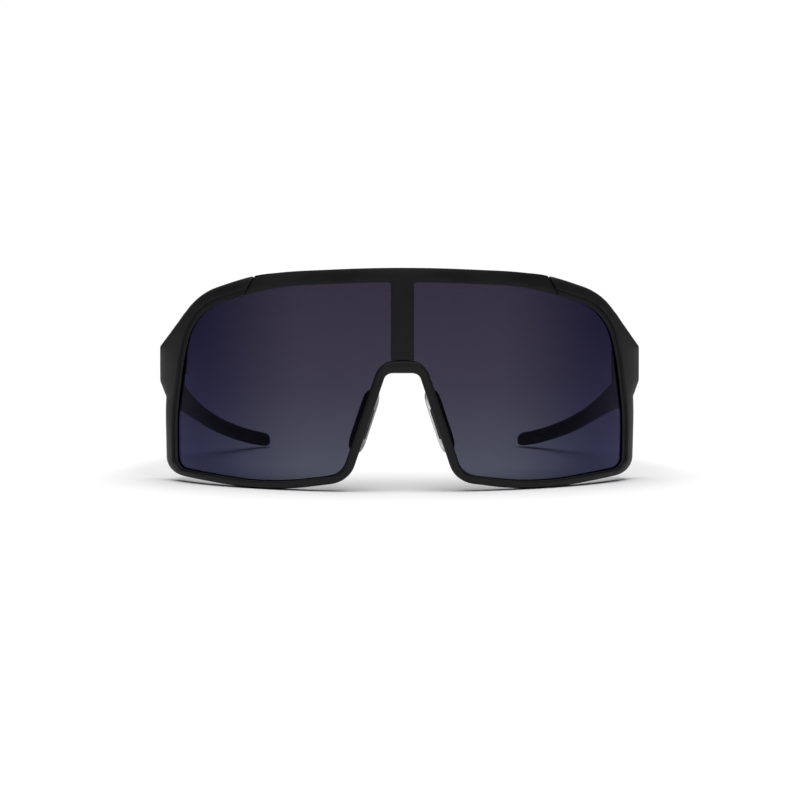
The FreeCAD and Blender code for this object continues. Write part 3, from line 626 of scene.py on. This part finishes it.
for k in range(7, 0, -1):
    bar_loop.append(rim_spot(-bar_distances[-1], RIM_WIDTHS[0] * (1 - k / 8)))
BAR_BACK = 0.05 * MM         # just ahead of the lens
BAR_GRID = 1.6
bar_mesh = curved_plate(bar_loop, BAR_PROUD * MM, BAR_BACK, BAR_EDGE, BAR_GRID)

# Behind that face, the crossbar reaches back over the lens's top edge.
crossbar = []
for distance in [-d for d in reversed(bar_distances)] + bar_distances[1:]:
    ring = []
    for out, ahead in ((RIM_WIDTHS[0] - REAR_STEP, 0.4), (RIM_WIDTHS[0] - REAR_STEP, -1.75),
                       (RIM_WIDTHS[0] - REAR_STEP - 0.15, -1.92), (GROOVE, -1.92), (GROOVE, 0.4)):
        seen = rim_spot(distance, out)
        ring.append(bar_mesh.verts.new(on_shield(seen.x * MM, seen.y * MM, ahead * MM)))
    crossbar.append(ring)
for one, two in zip(crossbar, crossbar[1:]):
    for k in range(len(one)):
        bar_mesh.faces.new((one[k - 1], two[k - 1], two[k], one[k]))
bar_mesh.faces.new(crossbar[0])
bar_mesh.faces.new(reversed(crossbar[-1]))
piece("brow_bar_moulding", bar_mesh, nylon, "front", "brow_nylon", "brow_bar")

# ---------------------------------------------------------------- nose pads and carriers
# Each pad is a clear silicone cushion with grip ribs over its lower half, pushed onto a
# nylon carrier whose tab is let into the back of the rim beside the nose arch.
PAD_LENGTH, PAD_WIDTH, PAD_THICKNESS = 19.0, 8.4, 1.7
PAD_EDGE = 0.6
PAD_CROWN = 0.15
PAD_SPLAY = math.radians(18.0)
PAD_LEAN = math.radians(18.3)
PAD_BELOW_ARCH = 18.5
PAD_BACK_FROM_RIM = 1.5
PAD_INSIDE_EDGE = 1.2
CARRIER_THICKNESS = 1.2
CARRIER_MARGIN = 0.5
TAB_LENGTH, TAB_REACH = 9.0, 2.6
RIB_COUNT, RIB_PITCH = 7, 1.05
RIB_LENGTH, RIB_WIDTH, RIB_HEIGHT = 5.2, 0.5, 0.32

pad_along = Vector((math.sin(PAD_LEAN), 0, -math.cos(PAD_LEAN)))
pad_back = Vector((math.sin(PAD_SPLAY), math.cos(PAD_SPLAY), 0))
pad_back = (pad_back - pad_along * pad_back.dot(pad_along)).normalized()
pad_to_nose = pad_back.cross(pad_along)
if pad_to_nose.x > 0:
    pad_to_nose = -pad_to_nose
arch_x, arch_z, _ = OPENING_HALF[-1]
leg_x = arch_x + PAD_BELOW_ARCH * math.tan(PAD_LEAN)
pad_edge_x = leg_x - RIM_WIDTHS[7] / math.cos(PAD_LEAN) - PAD_INSIDE_EDGE
rear_ring = LENS_RADIUS / MM + RIM_REAR
pad_edge_y = APEX_Y / MM + LENS_RADIUS / MM - math.sqrt(rear_ring ** 2 - leg_x ** 2)
pad_middle = Vector((pad_edge_x, pad_edge_y + PAD_BACK_FROM_RIM, arch_z - PAD_BELOW_ARCH))
pad_middle = pad_middle + pad_back * 0.5 * PAD_WIDTH
pad_place = Matrix((pad_along, pad_back, pad_to_nose)).transposed().to_4x4()
pad_place.translation = pad_middle


def stadium(length, width, pieces=14):
    """Outline of a bar with round ends, centred, as 2-D points."""
    radius = 0.5 * width
    points = []
    for sign in (1, -1):
        for k in range(pieces + 1):
            turn = math.pi * (k / pieces - 0.5)
            points.append(Vector((sign * (0.5 * length - radius + radius * math.cos(turn)),
                                  sign * radius * math.sin(turn))))
        for k in range(1, 10):
            points.append(Vector((sign * (0.5 * length - radius) * (1 - k / 5), sign * radius)))
    return points


def cushion(length, width, thickness, edge, crown, back):
    """bmesh of a bar-shaped cushion in mm, its crowned face up, its back face at -back."""
    levels = [(0.0, -thickness), (0.5, -thickness)]
    for k in range(5):
        turn = 0.5 * math.pi * k / 4
        levels.append((1 - edge * (1 - math.sin(turn)) * 2 / width,
                       -thickness + edge * (1 - math.cos(turn))))
    for k in range(5):
        turn = 0.5 * math.pi * k / 4
        levels.append((1 - edge * (1 - math.cos(turn)) * 2 / width,
                       -edge * (1 - math.sin(turn)) - crown))
    for share in (0.8, 0.6, 0.4, 0.2, 0.0):
        levels.append((share, -crown * share ** 2))
    mesh = bmesh.new()
    rows = []
    for share, height in levels:
        size = width * share
        outline = stadium(max(length - width + size, size + 1e-3), max(size, 1e-3))
        rows.append([mesh.verts.new((p.x, p.y, height - back)) for p in outline])
    for one, two in zip(rows, rows[1:]):
        for k in range(len(one)):
            mesh.faces.new((one[k - 1], one[k], two[k], two[k - 1]))
    for row, turned in ((rows[0], True), (rows[-1], False)):
        mesh.faces.new(reversed(row) if turned else row)
    bmesh.ops.remove_doubles(mesh, verts=mesh.verts, dist=0.004)
    return mesh


# Clear silicone is milky rather than glassy: it passes light but scatters it, has a soft
# sheen, and looks pale grey at its edges.
silicone, silicone_output = new_material("clear silicone, moulded soft")
tree = silicone.node_tree
silicone_map = add(tree, "ShaderNodeTexCoord")
cloud = add(tree, "ShaderNodeTexNoise", {"Scale": 1 / (2 * MM), "Detail": 2.0},
            Vector=silicone_map.outputs["Object"])
silicone_sheen = add(tree, "ShaderNodeMapRange", {"To Min": 0.3, "To Max": 0.45},
                     Value=cloud.outputs["Fac"])
silicone_skin = add(tree, "ShaderNodeBsdfPrincipled",
                    {"IOR": 1.41, "Base Color": linear("#f2f2f0"), "Transmission Weight": 0.8},
                    Roughness=silicone_sheen.outputs["Result"])
tree.links.new(silicone_skin.outputs["BSDF"], silicone_output.inputs["Surface"])


def tree_with(name, *numbers):
    """A geometry tree with a geometry input and output and named number inputs."""
    made = bpy.data.node_groups.new(name, "GeometryNodeTree")
    made.interface.new_socket("Geometry", in_out="INPUT", socket_type="NodeSocketGeometry")
    made.interface.new_socket("Geometry", in_out="OUTPUT", socket_type="NodeSocketGeometry")
    for number, kind in numbers:
        made.interface.new_socket(number, in_out="INPUT", socket_type="NodeSocket" + kind)
    return made, made.nodes.new("NodeGroupInput"), made.nodes.new("NodeGroupOutput")


# A row of rounded bars or domes along one axis, joined to whatever they stand on.
row_tree, row_in, row_out = tree_with("row of raised grips", ("Count", "Int"), ("Step", "Vector"),
                                      ("First", "Vector"), ("Half Size", "Vector"),
                                      ("Material", "Material"))
row_line = add(row_tree, "GeometryNodeMeshLine", Count=row_in.outputs["Count"],
               Start_Location=row_in.outputs["First"], Offset=row_in.outputs["Step"])
grip = add(row_tree, "GeometryNodeMeshUVSphere", {"Segments": 20, "Rings": 12, "Radius": 1.0})
grips = add(row_tree, "GeometryNodeInstanceOnPoints", Points=row_line.outputs["Mesh"],
            Instance=grip.outputs["Mesh"], Scale=row_in.outputs["Half Size"])
smooth_grips = add(row_tree, "GeometryNodeSetShadeSmooth", Geometry=grips.outputs["Instances"])
row_join = add(row_tree, "GeometryNodeJoinGeometry", Geometry=row_in.outputs["Geometry"])
row_tree.links.new(smooth_grips.outputs["Geometry"], row_join.inputs["Geometry"])
row_real = add(row_tree, "GeometryNodeRealizeInstances", Geometry=row_join.outputs["Geometry"])
row_paint = add(row_tree, "GeometryNodeSetMaterial", Geometry=row_real.outputs["Geometry"],
                Material=row_in.outputs["Material"])
row_tree.links.new(row_paint.outputs["Geometry"], row_out.inputs["Geometry"])


def with_row(mesh, material, count, step, first, half_size):
    """The bmesh with a row of grips added by the tree above, as a new bmesh."""
    base = bpy.data.meshes.new("base")
    mesh.to_mesh(base)
    mesh.free()
    host = bpy.data.objects.new("base", base)
    bpy.context.scene.collection.objects.link(host)
    modifier = host.modifiers.new("row", "NODES")
    modifier.node_group = row_tree
    inputs = {item.name: item.identifier for item in row_tree.interface.items_tree
              if item.in_out == "INPUT"}
    for name, value in (("Count", count), ("Step", step), ("First", first),
                        ("Half Size", half_size), ("Material", material)):
        modifier[inputs[name]] = value
    bpy.context.view_layer.update()
    shown = host.evaluated_get(bpy.context.evaluated_depsgraph_get())
    result = bpy.data.meshes.new_from_object(shown)
    bpy.data.objects.remove(host)
    made = bmesh.new()
    made.from_mesh(result)
    return made


def both_sides(mesh):
    """The bmesh and its mirror image: [(side name, bmesh)]."""
    other = mesh.copy()
    for vert in other.verts:
        vert.co.x = -vert.co.x
    return [("left", mesh), ("right", other)]


pad_mesh = cushion(PAD_LENGTH, PAD_WIDTH, PAD_THICKNESS, PAD_EDGE, PAD_CROWN, 0)
bmesh.ops.recalc_face_normals(pad_mesh, faces=pad_mesh.faces)
FIRST_RIB = (0.6, 0, -0.08)
pad_mesh = with_row(pad_mesh, silicone, RIB_COUNT, (RIB_PITCH, 0, 0), FIRST_RIB,
                    (0.5 * RIB_WIDTH, 0.5 * RIB_LENGTH, RIB_HEIGHT))
pad_mesh.transform(Matrix.Scale(MM, 4) @ pad_place)
for side_name, mesh in both_sides(pad_mesh):
    piece("nose_pad_cushion_" + side_name, mesh, silicone, "front", "clear_silicone",
          "nose_pad_" + side_name, sharp=50)

CARRIER_EDGE = 0.35
CARRIER_BEDDED = 0.02        # into the pad's back
carrier_mesh = cushion(PAD_LENGTH - 2 * CARRIER_MARGIN, PAD_WIDTH - 2 * CARRIER_MARGIN,
                       CARRIER_THICKNESS, CARRIER_EDGE, 0, PAD_THICKNESS - CARRIER_BEDDED)
tab_rows = []
TAB_START = -0.5 * PAD_WIDTH - TAB_REACH
for across, level in ((TAB_START, 0.0), (-0.5 * PAD_WIDTH + 0.4, 0.0), (0.0, 0.25)):
    corners = []
    for along, deep in ((-0.5, 0.2), (-0.47, 0.0), (0.47, 0.0), (0.5, 0.2), (0.5, 0.8),
                        (0.47, 1.0), (-0.47, 1.0), (-0.5, 0.8)):
        grow = TAB_LENGTH - 2 * level
        corners.append(carrier_mesh.verts.new((
            along * grow, across,
            -PAD_THICKNESS - level * 0.5 - deep * (CARRIER_THICKNESS - level))))
    tab_rows.append(corners)
for one, two in zip(tab_rows, tab_rows[1:]):
    for k in range(len(one)):
        carrier_mesh.faces.new((one[k - 1], one[k], two[k], two[k - 1]))
carrier_mesh.faces.new(reversed(tab_rows[0]))
carrier_mesh.faces.new(tab_rows[-1])
carrier_mesh.transform(Matrix.Scale(MM, 4) @ pad_place)
for side_name, mesh in both_sides(carrier_mesh):
    piece("nose_pad_carrier_moulding_" + side_name, mesh, nylon, "front", "carrier_nylon",
          "nose_pad_carrier_" + side_name)

# ---------------------------------------------------------------- hinges
# A stamped stainless leaf is riveted to each side block and another to each temple. Their
# knuckles interleave on a slotted screw, which is the pivot.
RIVET_RADIUS, RIVET_HEAD = 0.95, 0.35
FRONT_RIVET_AT = -4.5
TEMPLE_RIVETS_AT = 4.1
TEMPLE_RIVET_PITCH = 3.6
HINGE_Z = HINGE.z / MM

# Brushed stainless steel: fine lines from the stamping strip spread its highlights.
steel, steel_output = new_material("brushed stainless steel")
tree = steel.node_tree
steel_map = add(tree, "ShaderNodeTexCoord")
brushed = add(tree, "ShaderNodeMapping", {"Scale": (1 / (0.2 * MM), 1 / (4 * MM), 1 / (0.12 * MM))},
              Vector=steel_map.outputs["Object"])
lines = add(tree, "ShaderNodeTexNoise", {"Scale": 1.0, "Detail": 3.0},
            Vector=brushed.outputs["Vector"])
steel_roughness = add(tree, "ShaderNodeMapRange", {"To Min": 0.22, "To Max": 0.42},
                      Value=lines.outputs["Fac"])
steel_bump = add(tree, "ShaderNodeBump", {"Strength": 0.1, "Distance": 0.01 * MM},
                 Height=lines.outputs["Fac"])
steel_skin = add(tree, "ShaderNodeBsdfPrincipled",
                 {"Metallic": 1.0, "Base Color": linear("#a9a9a6")},
                 Roughness=steel_roughness.outputs["Result"], Normal=steel_bump.outputs["Normal"])
tree.links.new(steel_skin.outputs["BSDF"], steel_output.inputs["Surface"])

# The screw is turned and blackened, so it is darker than the leaves.
screw_steel, screw_output = new_material("turned steel screw, blackened")
tree = screw_steel.node_tree
screw_map = add(tree, "ShaderNodeTexCoord")
turned = add(tree, "ShaderNodeTexNoise", {"Scale": 1 / (0.3 * MM), "Detail": 2.0},
             Vector=screw_map.outputs["Object"])
screw_roughness = add(tree, "ShaderNodeMapRange", {"To Min": 0.25, "To Max": 0.45},
                      Value=turned.outputs["Fac"])
screw_skin = add(tree, "ShaderNodeBsdfPrincipled",
                 {"Metallic": 1.0, "Base Color": linear("#5b5a58")},
                 Roughness=screw_roughness.outputs["Result"])
tree.links.new(screw_skin.outputs["BSDF"], screw_output.inputs["Surface"])

for side_name in ("left", "right"):
    for node, metal in (("front_hinge_leaf_", steel), ("temple_hinge_leaf_", steel),
                        ("hinge_screw_", screw_steel)):
        for material_slot in frame["nodes"][node + side_name].material_slots:
            material_slot.material = metal
for name, node, body, at, count in (
        ("front_leaf_rivet_head_", "front_leaf_rivet_", "front", FRONT_RIVET_AT, 1),
        ("temple_leaf_rivet_heads_", "temple_leaf_rivets_", "temple_", TEMPLE_RIVETS_AT, 2)):
    rivets = with_row(bmesh.new(), steel, count, (0, TEMPLE_RIVET_PITCH, 0), (0, 0, 0),
                      (RIVET_HEAD, RIVET_RADIUS, RIVET_RADIUS))
    rivets.transform(Matrix.Scale(MM, 4) @ Matrix.Translation((HINGE_X, HINGE_Y + at, HINGE_Z)))
    for side_name, mesh in both_sides(rivets):
        rides_on = body if body == "front" else body + side_name
        piece(name + side_name, mesh, steel, rides_on, "hinge_steel", node + side_name)

# ---------------------------------------------------------------- temples
# Each temple is a moulded nylon arm that starts as tall as the side block, narrows and curves
# down and in over the ear. A soft rubber sleeve is moulded over its end.
ARM_LENGTH = 113.0
ARM_BOW, ARM_STRAIGHT, ARM_BOW_END = 2.0, 0.09, 0.30
EAR_FROM, TIP_INSET, EAR_POWER = 0.2, 24.7, 2.6
ARM_EDGE = 0.38              # edge radius as a share of the thickness
ARM_STEP = 0.002             # share of the length used to find the arm's direction
ARM_FIRST_SHARE = 0.0146     # first ring past the ones beside the knuckles
ARM_RINGS, TIP_RINGS, CLOSING_RINGS = 110, 50, 10
SMALLEST = 0.02              # mm, and the share that the closed end shrinks to
TIP_Z = 2.32
SLEEVE_FROM = 0.68
SLEEVE_PROUD = 0.06
TIP_ROUND = 0.979            # where the tip starts to close
# Along the arm: share of the length, share of the drop, height, thickness in mm
ARM_STATIONS = [
    (0.00, 0.000, 10.0, 5.6), (0.07, 0.125, 11.2, 4.7), (0.16, 0.260, 11.0, 4.0),
    (0.29, 0.360, 8.8, 3.5), (0.42, 0.450, 7.1, 3.2), (0.55, 0.565, 5.8, 3.1),
    (0.68, 0.700, 5.1, 3.2), (0.80, 0.825, 4.8, 3.4), (0.91, 0.930, 4.7, 3.5),
    (1.00, 1.000, 4.5, 3.4),
]


def arm_value(along, column):
    """A column of ARM_STATIONS at a share of the length, on a smooth curve through them."""
    i = max(k for k in range(len(ARM_STATIONS) - 1) if ARM_STATIONS[k][0] <= along)
    here, there = ARM_STATIONS[i], ARM_STATIONS[i + 1]
    before = ARM_STATIONS[max(i - 1, 0)]
    after = ARM_STATIONS[min(i + 2, len(ARM_STATIONS) - 1)]
    span = there[0] - here[0]
    slope_here = (there[column] - before[column]) / (there[0] - before[0]) * span
    slope_there = (after[column] - here[column]) / (after[0] - here[0]) * span
    t = (along - here[0]) / span
    return ((2 * t ** 3 - 3 * t ** 2 + 1) * here[column] + (t ** 3 - 2 * t ** 2 + t) * slope_here
            + (3 * t ** 2 - 2 * t ** 3) * there[column] + (t ** 3 - t ** 2) * slope_there)


def arm_inner_x(along):
    """Inner face at a share of the length: straight, a slight bow, then the ear curve."""
    share = min(max((along - ARM_STRAIGHT) / (ARM_BOW_END - ARM_STRAIGHT), 0), 1)
    bow = ARM_BOW * share ** 2 * (3 - 2 * share)
    beyond = max(along - EAR_FROM, 0) / (1 - EAR_FROM)
    return LUG_INNER_X + bow - TIP_INSET * beyond ** EAR_POWER


def arm_section(along, grow=0.0, ahead=0.0):
    """Points round the arm's rounded section in mm; ahead moves it along the arm."""
    height, thickness = arm_value(along, 2), arm_value(along, 3)
    inward = arm_inner_x(max(along - ARM_STEP, 0)) - arm_inner_x(along + ARM_STEP)
    across = Vector((2 * ARM_STEP * ARM_LENGTH, inward, 0)).normalized()
    onward = Vector((-across.y, across.x, 0))
    middle = Vector((arm_inner_x(along), HINGE_Y + BUTT_GAP + along * (ARM_LENGTH - BUTT_GAP),
                     HINGE_Z + arm_value(along, 1) * (TIP_Z - HINGE_Z)))
    middle += across * 0.5 * thickness + onward * ahead
    close = 1.0
    if along > TIP_ROUND:
        close = math.sqrt(max(0.0, 1 - ((along - TIP_ROUND) / (1 - TIP_ROUND)) ** 2))
        close = max(close, SMALLEST)
    half_t, half_h = 0.5 * thickness * close + grow, 0.5 * height * close + grow
    edge = max(SMALLEST, 2 * half_t * ARM_EDGE)
    points = []
    for sign_a, sign_b, from_turn in ((1, 1, 0), (-1, 1, 90), (-1, -1, 180), (1, -1, 270)):
        for k in range(6):
            turn = math.radians(from_turn + 18 * k)
            points.append(middle + across * (sign_a * (half_t - edge) + edge * math.cos(turn))
                          + Vector((0, 0, sign_b * (half_h - edge) + edge * math.sin(turn))))
        if (sign_a, sign_b) == (-1, 1):
            low, high = middle.z - half_h + edge, middle.z + half_h - edge
            room = min(max(KNUCKLE_ROOM_LOW, low + 0.3), high - 0.3)
            for z in (0.5 * (room + high), room + 0.01, room - 0.01, 0.5 * (room + low)):
                spot = middle - across * half_t
                points.append(Vector((spot.x, spot.y, z)))
    return points


def arm_tube(sections):
    """bmesh of a closed bar through sections, with both ends capped."""
    mesh = bmesh.new()
    rows = [[mesh.verts.new(spot * MM) for spot in section] for section in sections]
    for one, two in zip(rows, rows[1:]):
        for k in range(len(one)):
            mesh.faces.new((one[k - 1], one[k], two[k], two[k - 1]))
    mesh.faces.new(reversed(rows[0]))
    mesh.faces.new(rows[-1])
    return mesh


def clear_of_knuckles(section):
    """The section with its inner side moved out round the hinge knuckles."""
    moved = []
    for spot in section:
        back = spot.y - HINGE_Y
        if back < KNUCKLE_CLEAR and spot.z > KNUCKLE_ROOM_LOW:
            room = HINGE_X + math.sqrt(KNUCKLE_CLEAR ** 2 - back ** 2)
            spot = Vector((max(spot.x, room), spot.y, spot.z))
        moved.append(spot)
    return moved


arm_sections = [arm_section(0.0, -0.2), arm_section(0.0, -0.06, 0.06), arm_section(0.0, 0, 0.2)]
arm_sections += [arm_section(0.0, 0, ahead) for ahead in (0.5, 0.8, 1.1, 1.35, 1.5, 1.6)]
arm_shares = [ARM_FIRST_SHARE + (SLEEVE_FROM - ARM_FIRST_SHARE) * k / ARM_RINGS
              for k in range(ARM_RINGS)]
arm_sections += [arm_section(share) for share in arm_shares]
arm_sections.append(arm_section(SLEEVE_FROM, 0, -0.12))
arm_sections.append(arm_section(SLEEVE_FROM, -0.12, 0))
arm_sections.append(arm_section(SLEEVE_FROM, -0.5, 0.3))
arm_mesh = arm_tube([clear_of_knuckles(section) for section in arm_sections])
for side_name, mesh in both_sides(arm_mesh):
    piece("temple_arm_moulding_" + side_name, mesh, nylon, "temple_" + side_name, "temple_nylon",
          "temple_arm_" + side_name)

# Soft-touch rubber is duller than the nylon. Its colour is painted a shade greener and lighter, as
# painted light on the temple tips.
rubber, rubber_output = new_material("soft-touch moulded rubber")
tree = rubber.node_tree
rubber_map = add(tree, "ShaderNodeTexCoord")
bloom = add(tree, "ShaderNodeTexNoise", {"Scale": 1 / (5 * MM), "Detail": 3.0},
            Vector=rubber_map.outputs["Object"])
# Painted light: both colours are lighter and greener than the nylon, standing in for light on the
# tips.
rubber_tone_painted_lighter = add(tree, "ShaderNodeValToRGB", Fac=bloom.outputs["Fac"])
rubber_tone_painted_lighter.color_ramp.elements[0].position = 0.35
rubber_tone_painted_lighter.color_ramp.elements[0].color = linear("#22241f")
rubber_tone_painted_lighter.color_ramp.elements[1].position = 0.65
rubber_tone_painted_lighter.color_ramp.elements[1].color = linear("#292b26")
rubber_skin = add(tree, "ShaderNodeBsdfPrincipled", {"IOR": 1.5, "Roughness": 0.72},
                  Base_Color=rubber_tone_painted_lighter.outputs["Color"])
tree.links.new(rubber_skin.outputs["BSDF"], rubber_output.inputs["Surface"])

tip_sections = [arm_section(SLEEVE_FROM, -0.6, 0.05), arm_section(SLEEVE_FROM, -0.1, 0.05),
                arm_section(SLEEVE_FROM, 0.02, 0.1), arm_section(SLEEVE_FROM, SLEEVE_PROUD, 0.25)]
TIP_FIRST = 0.004            # share of the length from the sleeve's start to its next ring
tip_shares = [SLEEVE_FROM + TIP_FIRST + (TIP_ROUND - SLEEVE_FROM - TIP_FIRST) * k / TIP_RINGS
              for k in range(TIP_RINGS + 1)]
for k in range(1, CLOSING_RINGS + 1):
    turn = 0.5 * math.pi * k / CLOSING_RINGS
    tip_shares.append(TIP_ROUND + (1 - TIP_ROUND) * math.sin(turn))
tip_sections += [arm_section(share, SLEEVE_PROUD if share <= TIP_ROUND else 0.0)
                 for share in tip_shares]
for side_name, mesh in both_sides(arm_tube(tip_sections)):
    piece("temple_tip_sleeve_" + side_name, mesh, rubber, "temple_" + side_name, "tip_rubber",
          "temple_tip_" + side_name)

import json
